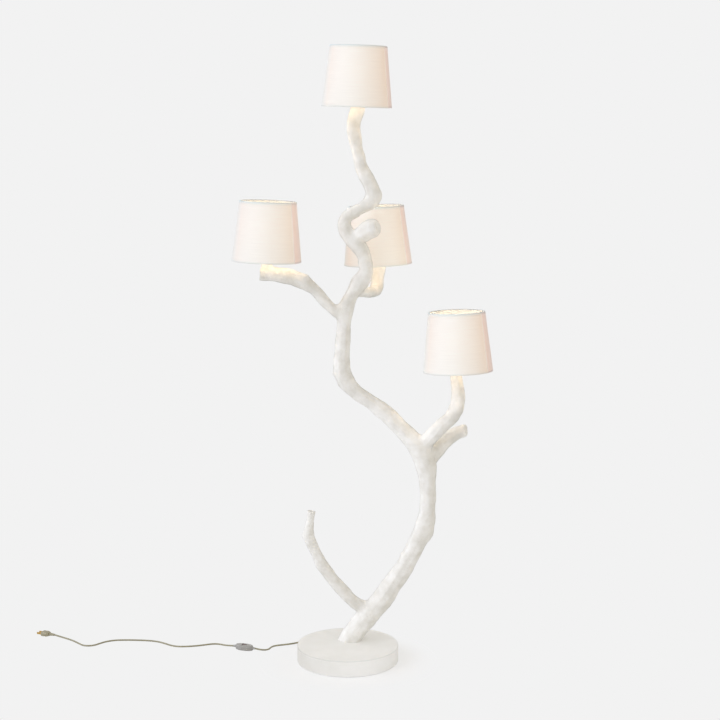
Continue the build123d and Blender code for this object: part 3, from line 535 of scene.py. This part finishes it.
# the shades: linen laminated on a stiff white liner, its edges rolled over steel rings
shade = {
    "bottomRadius": 0.1015,
    "topRadius": 0.0825,
    "drop": 0.012,          # how far it hangs below the branch tip
    "rise": 0.163,          # and how far it stands above it
    "wall": 0.0016,
    "hemHeight": 0.0055,
    "hemDepth": 0.0044,
    "hemProud": 0.0004,
    "hemLip": 0.0008,       # the hem's corners are cut off by this
    "hemStep": 0.0006,      # over which the hem runs into the wall
    "hemEase": 0.0003,
    "rows": 18,
    "steps": 144,
    "overlapSteps": 11,     # the seam, where the cloth is double
    "overlapProud": 0.0005,
    "ripple": 0.0003,
    "ripplesRound": 2.5,
    "ripplesUp": 14,
    "inward": -0.01,        # a face that points further in than this is liner, any other is linen
    "foldAt": 0.1475,       # above the bottom edge, where the folded-in linen begins
    "foldFade": 0.001,
    "seamGlow": 0.88,       # the share of the light that comes through the doubled cloth
    "seamFade": 0.001,
    # how much of the painted glow shows through, at shares of the height
    "glowUp": [(0.0, 0.6), (0.02, 0.8), (0.04, 0.93), (0.35, 0.97), (0.62, 1), (0.95, 0.98), (0.98, 0.7),
               (1.0, 0.4)],
    "seamTurns": {"top": -27, "left": -34, "rear": -33, "right": -35},
}


def shadeEdge(height):  # the outside radius at a height above the branch tip
    share = (height + shade["drop"]) / (shade["rise"] + shade["drop"])
    return shade["bottomRadius"] + (shade["topRadius"] - shade["bottomRadius"]) * share


def shadeOutline():
    # once round the wall: up the outside, over the top hem, down the liner and round the bottom hem
    low, high, hem = -shade["drop"], shade["rise"], shade["hemHeight"]
    depth, proud, wall = shade["hemDepth"], shade["hemProud"], shade["wall"]
    lip, step, ease = shade["hemLip"], shade["hemStep"], shade["hemEase"]
    heights = [low + hem + step + (high - low - 2 * hem - 2 * step) * row / shade["rows"]
               for row in range(shade["rows"] + 1)]
    outside = [(shadeEdge(low) - lip, low), (shadeEdge(low) + proud, low + lip),
               (shadeEdge(low + hem) + proud, low + hem - ease)]
    outside += [(shadeEdge(height), height) for height in heights]
    outside += [(shadeEdge(high - hem) + proud, high - hem + ease), (shadeEdge(high) + proud, high - lip),
                (shadeEdge(high) - lip, high)]
    inside = [(shadeEdge(high) - depth + lip, high), (shadeEdge(high) - depth, high - lip),
              (shadeEdge(high - hem) - depth, high - hem + step)]
    inside += [(shadeEdge(height) - wall, height) for height in reversed(heights)]
    inside += [(shadeEdge(low + hem) - depth, low + hem - step), (shadeEdge(low) - depth, low + lip),
               (shadeEdge(low) - depth + lip, low)]
    return outside + inside


def linen():
    # plain-woven linen with slubs. The bulb's light through the cloth is painted on as a glow (emission):
    # less where the cloth is doubled, and redder at a slant, where the light has more cloth to pass. Its
    # threads are 0.5 mm apart and are drawn 3.1 mm apart to show.
    material = newMaterial("linenOnLiner")
    place = addNode(material, "TexCoord", {}, {})
    along = addNode(material, "SeparateXYZ", {}, {0: place.outputs["UV"]})
    warp = addNode(material, "TexWave", {"wave_type": "BANDS", "bands_direction": "X"},
                   {"Vector": place.outputs["UV"], "Scale": 100, "Distortion": 1.2, "Detail": 2})
    weft = addNode(material, "TexWave", {"wave_type": "BANDS", "bands_direction": "Y"},
                   {"Vector": place.outputs["UV"], "Scale": 100, "Distortion": 1.2, "Detail": 2})
    weave = addNode(material, "Mix", {"data_type": "FLOAT"},
                    {0: 0.5, 2: warp.outputs["Fac"], 3: weft.outputs["Fac"]})
    stretched = addNode(material, "Mapping", {}, {"Vector": place.outputs["UV"], "Scale": (14, 420, 1)})
    slubs = addNode(material, "TexNoise", {}, {"Vector": stretched.outputs[0], "Scale": 1, "Detail": 3})
    threads = addNode(material, "Mix", {"data_type": "FLOAT"},
                      {0: 0.5, 2: weave.outputs[0], 3: slubs.outputs["Fac"]})
    cloth = addNode(material, "ValToRGB", {}, {0: threads.outputs[0]},
                    [(0.25, linear("#B7D3DD")), (0.75, linear("#C1DEE7"))])
    height = addNode(material, "Math", {"operation": "DIVIDE"},
                     {0: along.outputs["Y"], 1: shade["rise"] + shade["drop"]})
    glow = addNode(material, "ValToRGB", {}, {0: height.outputs[0]},
                   [(at, (amount, amount, amount, 1)) for at, amount in shade["glowUp"]])
    facing = addNode(material, "LayerWeight", {}, {"Blend": 0.5})
    slant = addNode(material, "ValToRGB", {}, {0: facing.outputs["Facing"]},
                    [(0.0, linear("#BE9678")), (0.5, linear("#AE6C1C")), (0.9, linear("#945A14"))])
    girths = shade["bottomRadius"] + shade["topRadius"]
    overlap = 2 * pi * shade["overlapSteps"] / shade["steps"] * girths / 2
    single = addNode(material, "MapRange", {},
                     {0: along.outputs["X"], 1: overlap - shade["seamFade"], 2: overlap, 3: 0, 4: 1})
    seam = addNode(material, "MapRange", {}, {0: single.outputs[0], 1: 0, 2: 1, 3: shade["seamGlow"], 4: 1})
    doubled = addNode(material, "Mix", {"data_type": "RGBA"},
                      {0: single.outputs[0], 6: linear("#C3D2DE"), 7: cloth.outputs[0]})
    shadow = addNode(material, "MapRange", {}, {0: threads.outputs[0], 1: 0.2, 2: 0.8, 3: 0.93, 4: 1.05})
    share = addNode(material, "Math", {"operation": "MULTIPLY"}, {0: seam.outputs[0], 1: shadow.outputs[0]})
    level = addNode(material, "Math", {"operation": "MULTIPLY"}, {0: share.outputs[0], 1: glow.outputs[0]})
    # painted light: the glow through the cloth, set as the linen's emission
    light = addNode(material, "VectorMath", {"operation": "SCALE"},
                    {0: slant.outputs[0], 3: level.outputs[0]})
    bump = addNode(material, "Bump", {}, {"Height": threads.outputs[0], "Strength": 0.35, "Distance": 0.0003})
    return finishMaterial(material, addNode(material, "BsdfPrincipled", {}, {
        "Base Color": doubled.outputs[2], "Roughness": 0.9, "IOR": 1.46,
        "Emission Color": light.outputs[0], "Emission Strength": 1, "Normal": bump.outputs[0]}))


def styreneLiner():
    # white styrene sheet: smooth, faintly shiny, lit only by the bulb, with greyer linen folded in at the top
    material = newMaterial("styreneLiner")
    place = addNode(material, "TexCoord", {}, {})
    along = addNode(material, "SeparateXYZ", {}, {0: place.outputs["UV"]})
    mottle = addNode(material, "TexNoise", {}, {"Vector": place.outputs["Object"], "Scale": 40, "Detail": 2})
    tint = addNode(material, "ValToRGB", {}, {0: mottle.outputs[0]},
                   [(0.3, linear("#D9D2C4")), (0.7, linear("#E0DACD"))])
    folded = addNode(material, "MapRange", {}, {0: along.outputs["Y"], 1: shade["foldAt"],
                                                2: shade["foldAt"] + shade["foldFade"], 3: 0, 4: 1})
    colour = addNode(material, "Mix", {"data_type": "RGBA"},
                     {0: folded.outputs[0], 6: tint.outputs[0], 7: linear("#989C9E")})
    return finishMaterial(material, addNode(material, "BsdfPrincipled", {}, {
        "Base Color": colour.outputs[2], "Roughness": 0.55, "IOR": 1.55}))


shadeMaterials = [linen(), styreneLiner()]


def rippleCloth(bm):
    around, up = shade["ripplesRound"], shade["ripplesUp"]
    for vert in bm.verts:
        out = Vector((vert.co.x, vert.co.y, 0)).normalized()
        wave = noise.noise(Vector((out.x * around, out.y * around, vert.co.z * up)))
        vert.co += out * wave * shade["ripple"]


def unrollCloth(bm):
    # the cloth's own map in metres: along the middle's girth and up from the bottom edge
    layer = bm.loops.layers.uv.new("UVMap")
    middleRadius = (shade["bottomRadius"] + shade["topRadius"]) / 2
    for face in bm.faces:
        middle = face.calc_center_median()
        turn = atan2(middle.y, middle.x) % (2 * pi)
        for loop in face.loops:
            spot = loop.vert.co
            own = atan2(spot.y, spot.x) % (2 * pi)
            own += 2 * pi * ((turn - own > pi) - (own - turn > pi))
            loop[layer].uv = (own * middleRadius, spot.z + shade["drop"])


def shadeCover(light):
    bm = bmesh.new()
    points = [bm.verts.new((radius, 0, height)) for radius, height in shadeOutline()]
    edges = [bm.edges.new(pair) for pair in zip(points, points[1:] + points[:1])]
    bmesh.ops.spin(bm, geom=points + edges, cent=(0, 0, 0), axis=(0, 0, 1), angle=2 * pi,
                   steps=shade["steps"], use_merge=True)
    bmesh.ops.recalc_face_normals(bm, faces=bm.faces)
    overlap = 2 * pi * shade["overlapSteps"] / shade["steps"]
    low, high = shade["hemHeight"] - shade["drop"], shade["rise"] - shade["hemHeight"]
    strip = []
    for face in bm.faces:
        middle = face.calc_center_median()
        outward = face.normal.dot(Vector((middle.x, middle.y, 0)))
        onWall = low < middle.z < high
        face.material_index = 1 if outward < shade["inward"] and middle.z > low else 0
        if onWall and outward > 0 and atan2(middle.y, middle.x) % (2 * pi) < overlap:
            strip.append(face)
    raised = bmesh.ops.extrude_face_region(bm, geom=strip)["geom"]
    for vert in [item for item in raised if isinstance(item, bmesh.types.BMVert)]:
        vert.co += Vector((vert.co.x, vert.co.y, 0)).normalized() * shade["overlapProud"]
    bmesh.ops.delete(bm, geom=[face for face in strip if face.is_valid], context="FACES_ONLY")
    rippleCloth(bm)
    unrollCloth(bm)
    bm.transform(lightPlace(light) @ Matrix.Rotation(radians(shade["seamTurns"][light]), 4, "Z"))
    piece = newPiece(light + "_shade_cover", bm, shadeMaterials, light + "_shade_body")
    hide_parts(light + "_shade")


for light in lightNames:
    shadeCover(light)
print("shades made")


# what carries the shades, and the bulbs
def bulbGlass():
    # glass with a white inner coat, alight: an even warm glow
    material = newMaterial("opalBulbGlass")
    place = addNode(material, "TexCoord", {}, {})
    cloud = addNode(material, "TexNoise", {}, {"Vector": place.outputs["Object"], "Scale": 25, "Detail": 1})
    warm = addNode(material, "ValToRGB", {}, {0: cloud.outputs[0]},
                   [(0.3, linear("#FFE9D0")), (0.7, linear("#FFEDD7"))])
    return finishMaterial(material, addNode(material, "BsdfPrincipled", {}, {
        "Base Color": linear("#F4EFE6"), "Roughness": 0.25, "IOR": 1.52,
        "Emission Color": warm.outputs[0], "Emission Strength": 17.0}))


def powderCoat():
    # white powder coat on steel wire: satin, with a faint orange peel
    material = newMaterial("whitePowderCoat")
    place = addNode(material, "TexCoord", {}, {})
    peel = addNode(material, "TexNoise", {}, {"Vector": place.outputs["Object"], "Scale": 900, "Detail": 1})
    shift = addNode(material, "ValToRGB", {}, {0: peel.outputs[0]},
                    [(0.3, linear("#E6E5E1")), (0.7, linear("#ECEBE8"))])
    bump = addNode(material, "Bump", {}, {"Height": peel.outputs[0], "Strength": 0.3, "Distance": 0.0001})
    return finishMaterial(material, addNode(material, "BsdfPrincipled", {}, {
        "Base Color": shift.outputs[0], "Roughness": 0.4, "IOR": 1.5, "Normal": bump.outputs[0]}))


def ureaMoulding(name, dark, pale, roughness):
    # urea moulding: hard, smooth and slightly shiny, with flow marks
    material = newMaterial(name)
    place = addNode(material, "TexCoord", {}, {})
    flow = addNode(material, "TexNoise", {}, {"Vector": place.outputs["Object"], "Scale": 55, "Detail": 3})
    tint = addNode(material, "ValToRGB", {}, {0: flow.outputs[0]},
                   [(0.35, linear(dark)), (0.65, linear(pale))])
    pits = addNode(material, "TexNoise", {}, {"Vector": place.outputs["Object"], "Scale": 1200, "Detail": 1})
    bump = addNode(material, "Bump", {}, {"Height": pits.outputs[0], "Strength": 0.2, "Distance": 0.0001})
    return finishMaterial(material, addNode(material, "BsdfPrincipled", {}, {
        "Base Color": tint.outputs[0], "Roughness": roughness, "IOR": 1.54, "Normal": bump.outputs[0]}))


def workedMetal(name, dark, pale, roughness, scale):
    # drawn or rolled metal: fine streaks from the die or the rolls
    material = newMaterial(name)
    place = addNode(material, "TexCoord", {}, {})
    drawn = addNode(material, "Mapping", {}, {"Vector": place.outputs["Object"], "Scale": (1, 1, 0.15)})
    streaks = addNode(material, "TexNoise", {}, {"Vector": drawn.outputs[0], "Scale": scale, "Detail": 3})
    tint = addNode(material, "ValToRGB", {}, {0: streaks.outputs[0]},
                   [(0.3, linear(dark)), (0.7, linear(pale))])
    bump = addNode(material, "Bump", {}, {"Height": streaks.outputs[0], "Strength": 0.25, "Distance": 0.0001})
    return finishMaterial(material, addNode(material, "BsdfPrincipled", {}, {
        "Base Color": tint.outputs[0], "Metallic": 1, "Roughness": roughness, "Normal": bump.outputs[0]}))


paintNodes(bulbGlass(), *[light + "_bulb_glass" for light in lightNames])
paintNodes(powderCoat(),
           *[light + part for light in lightNames for part in ("_shade_frame", "_shade_top_ring")])
paintNodes(ureaMoulding("holderUrea", "#E4E1D8", "#EBE8E0", 0.45),
           *[light + "_lamp_holder" for light in lightNames])
paintNodes(ureaMoulding("nutUrea", "#E2E0DA", "#ECEAE4", 0.38),
           *[light + "_shade_nut" for light in lightNames])
paintNodes(workedMetal("rolledAluminium", "#B9BABB", "#D2D3D4", 0.35, 500),
           *[light + "_bulb_cap" for light in lightNames])
paintNodes(workedMetal("pressedBrass", "#B08D4C", "#CDAA66", 0.35, 600), "holder_contacts", "plug_blades")
paintNodes(workedMetal("zincedSteel", "#A4A7A9", "#C2C5C7", 0.4, 400), "stem_conduit", "arm_conduits",
           "holder_nipples", "branch_dowels", "foot_plate", "foot_screws", "switch_screws")
print("lights fitted")


# base
def castStone():
    # cast stone, rubbed smooth: matt off-white with a cloudy bloom and a fine sandy tooth; a thin band along
    # the top edge is darkened as painted shade of the rounded rim
    material = newMaterial("castStone")
    place = addNode(material, "TexCoord", {}, {})
    cloud = addNode(material, "TexNoise", {},
                    {"Vector": place.outputs["Object"], "Scale": 16, "Detail": 5, "Roughness": 0.6})
    tint = addNode(material, "ValToRGB", {}, {0: cloud.outputs[0]},
                   [(0.34, linear("#F3F2EE")), (0.66, linear("#F8F7F4"))])
    flat = addNode(material, "VectorMath", {"operation": "MULTIPLY"},
                   {0: place.outputs["Object"], 1: (1, 1, 0)})
    out = addNode(material, "VectorMath", {"operation": "LENGTH"}, {0: flat.outputs[0]})
    split = addNode(material, "SeparateXYZ", {}, {0: place.outputs["Object"]})
    rim = addNode(material, "CombineXYZ", {}, {0: out.outputs["Value"], 2: split.outputs["Z"]})
    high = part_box("base_disc")[1]
    fromRim = addNode(material, "VectorMath", {"operation": "DISTANCE"},
                      {0: rim.outputs[0], 1: (high.x, 0, high.z)})
    # painted shade: darker within a few millimetres of the top edge's rim
    rimShade = addNode(material, "MapRange", {"interpolation_type": "SMOOTHSTEP"},
                   {0: fromRim.outputs["Value"], 1: 0.0012, 2: 0.0032, 3: 0.88, 4: 1})
    stoneWithRimShade = addNode(material, "VectorMath", {"operation": "SCALE"}, {0: tint.outputs[0], 3: rimShade.outputs[0]})
    sand = addNode(material, "TexNoise", {},
                   {"Vector": place.outputs["Object"], "Scale": 500, "Detail": 2, "Roughness": 0.6})
    waves = addNode(material, "TexNoise", {}, {"Vector": place.outputs["Object"], "Scale": 45, "Detail": 2})
    low = addNode(material, "Bump", {}, {"Height": waves.outputs[0], "Strength": 0.25, "Distance": 0.001})
    fine = addNode(material, "Bump", {}, {"Height": sand.outputs[0], "Strength": 0.3, "Distance": 0.0003,
                                          "Normal": low.outputs[0]})
    return finishMaterial(material, addNode(material, "BsdfPrincipled", {}, {
        "Base Color": stoneWithRimShade.outputs[0], "Roughness": 0.75, "IOR": 1.5, "Normal": fine.outputs[0]}))


def woolFelt():
    # pressed wool felt: no shine at all, short tangled hair
    material = newMaterial("pressedFelt")
    place = addNode(material, "TexCoord", {}, {})
    hair = addNode(material, "TexNoise", {}, {"Vector": place.outputs["Object"], "Scale": 700, "Detail": 3})
    tint = addNode(material, "ValToRGB", {}, {0: hair.outputs[0]},
                   [(0.3, linear("#55534F")), (0.7, linear("#6C6A66"))])
    bump = addNode(material, "Bump", {}, {"Height": hair.outputs[0], "Strength": 0.6, "Distance": 0.0004})
    return finishMaterial(material, addNode(material, "BsdfPrincipled", {}, {
        "Base Color": tint.outputs[0], "Roughness": 0.97, "Sheen Weight": 0.3, "Normal": bump.outputs[0]}))


def sandCastIron():
    # sand-cast iron: dark, rough and slightly grainy
    material = newMaterial("sandCastIron")
    place = addNode(material, "TexCoord", {}, {})
    sand = addNode(material, "TexNoise", {}, {"Vector": place.outputs["Object"], "Scale": 350, "Detail": 4})
    tint = addNode(material, "ValToRGB", {}, {0: sand.outputs[0]},
                   [(0.3, linear("#3A3938")), (0.7, linear("#4C4B49"))])
    bump = addNode(material, "Bump", {}, {"Height": sand.outputs[0], "Strength": 0.7, "Distance": 0.0006})
    return finishMaterial(material, addNode(material, "BsdfPrincipled", {}, {
        "Base Color": tint.outputs[0], "Metallic": 0.6, "Roughness": 0.7, "Normal": bump.outputs[0]}))


paintNodes(castStone(), "base_disc")
paintNodes(woolFelt(), "base_pad")
paintNodes(sandCastIron(), "base_weight")
paintNodes(ureaMoulding("connectorPolyamide", "#E3E0D6", "#EAE7DE", 0.5), "wire_connector")
paintNodes(ureaMoulding("wirePvc", "#A8A28C", "#B6B09B", 0.45), "wiring")
paintNodes(ureaMoulding("glandPvc", "#8F8A70", "#9C967E", 0.5), "cord_gland")
paintNodes(ureaMoulding("plugPvc", "#968F76", "#A39D85", 0.45), "plug_body")
print("base finished")


# switch
def smokyPlastic():
    # smoky styrene, thin enough to let a little light in: grey, glossy, faintly warm
    material = newMaterial("smokyStyrene")
    place = addNode(material, "TexCoord", {}, {})
    depth = addNode(material, "TexNoise", {}, {"Vector": place.outputs["Object"], "Scale": 130, "Detail": 3})
    tint = addNode(material, "ValToRGB", {}, {0: depth.outputs[0]},
                   [(0.3, linear("#A9A6A2")), (0.7, linear("#BEBCB8"))])
    return finishMaterial(material, addNode(material, "BsdfPrincipled", {}, {
        "Base Color": tint.outputs[0], "Roughness": 0.3, "IOR": 1.59,
        "Transmission Weight": 0.25}))


paintNodes(smokyPlastic(), "switch_lower", "switch_upper")
paintNodes(ureaMoulding("rockerUrea", "#57403E", "#6B5250", 0.3), "switch_rocker")
print("switch finished")
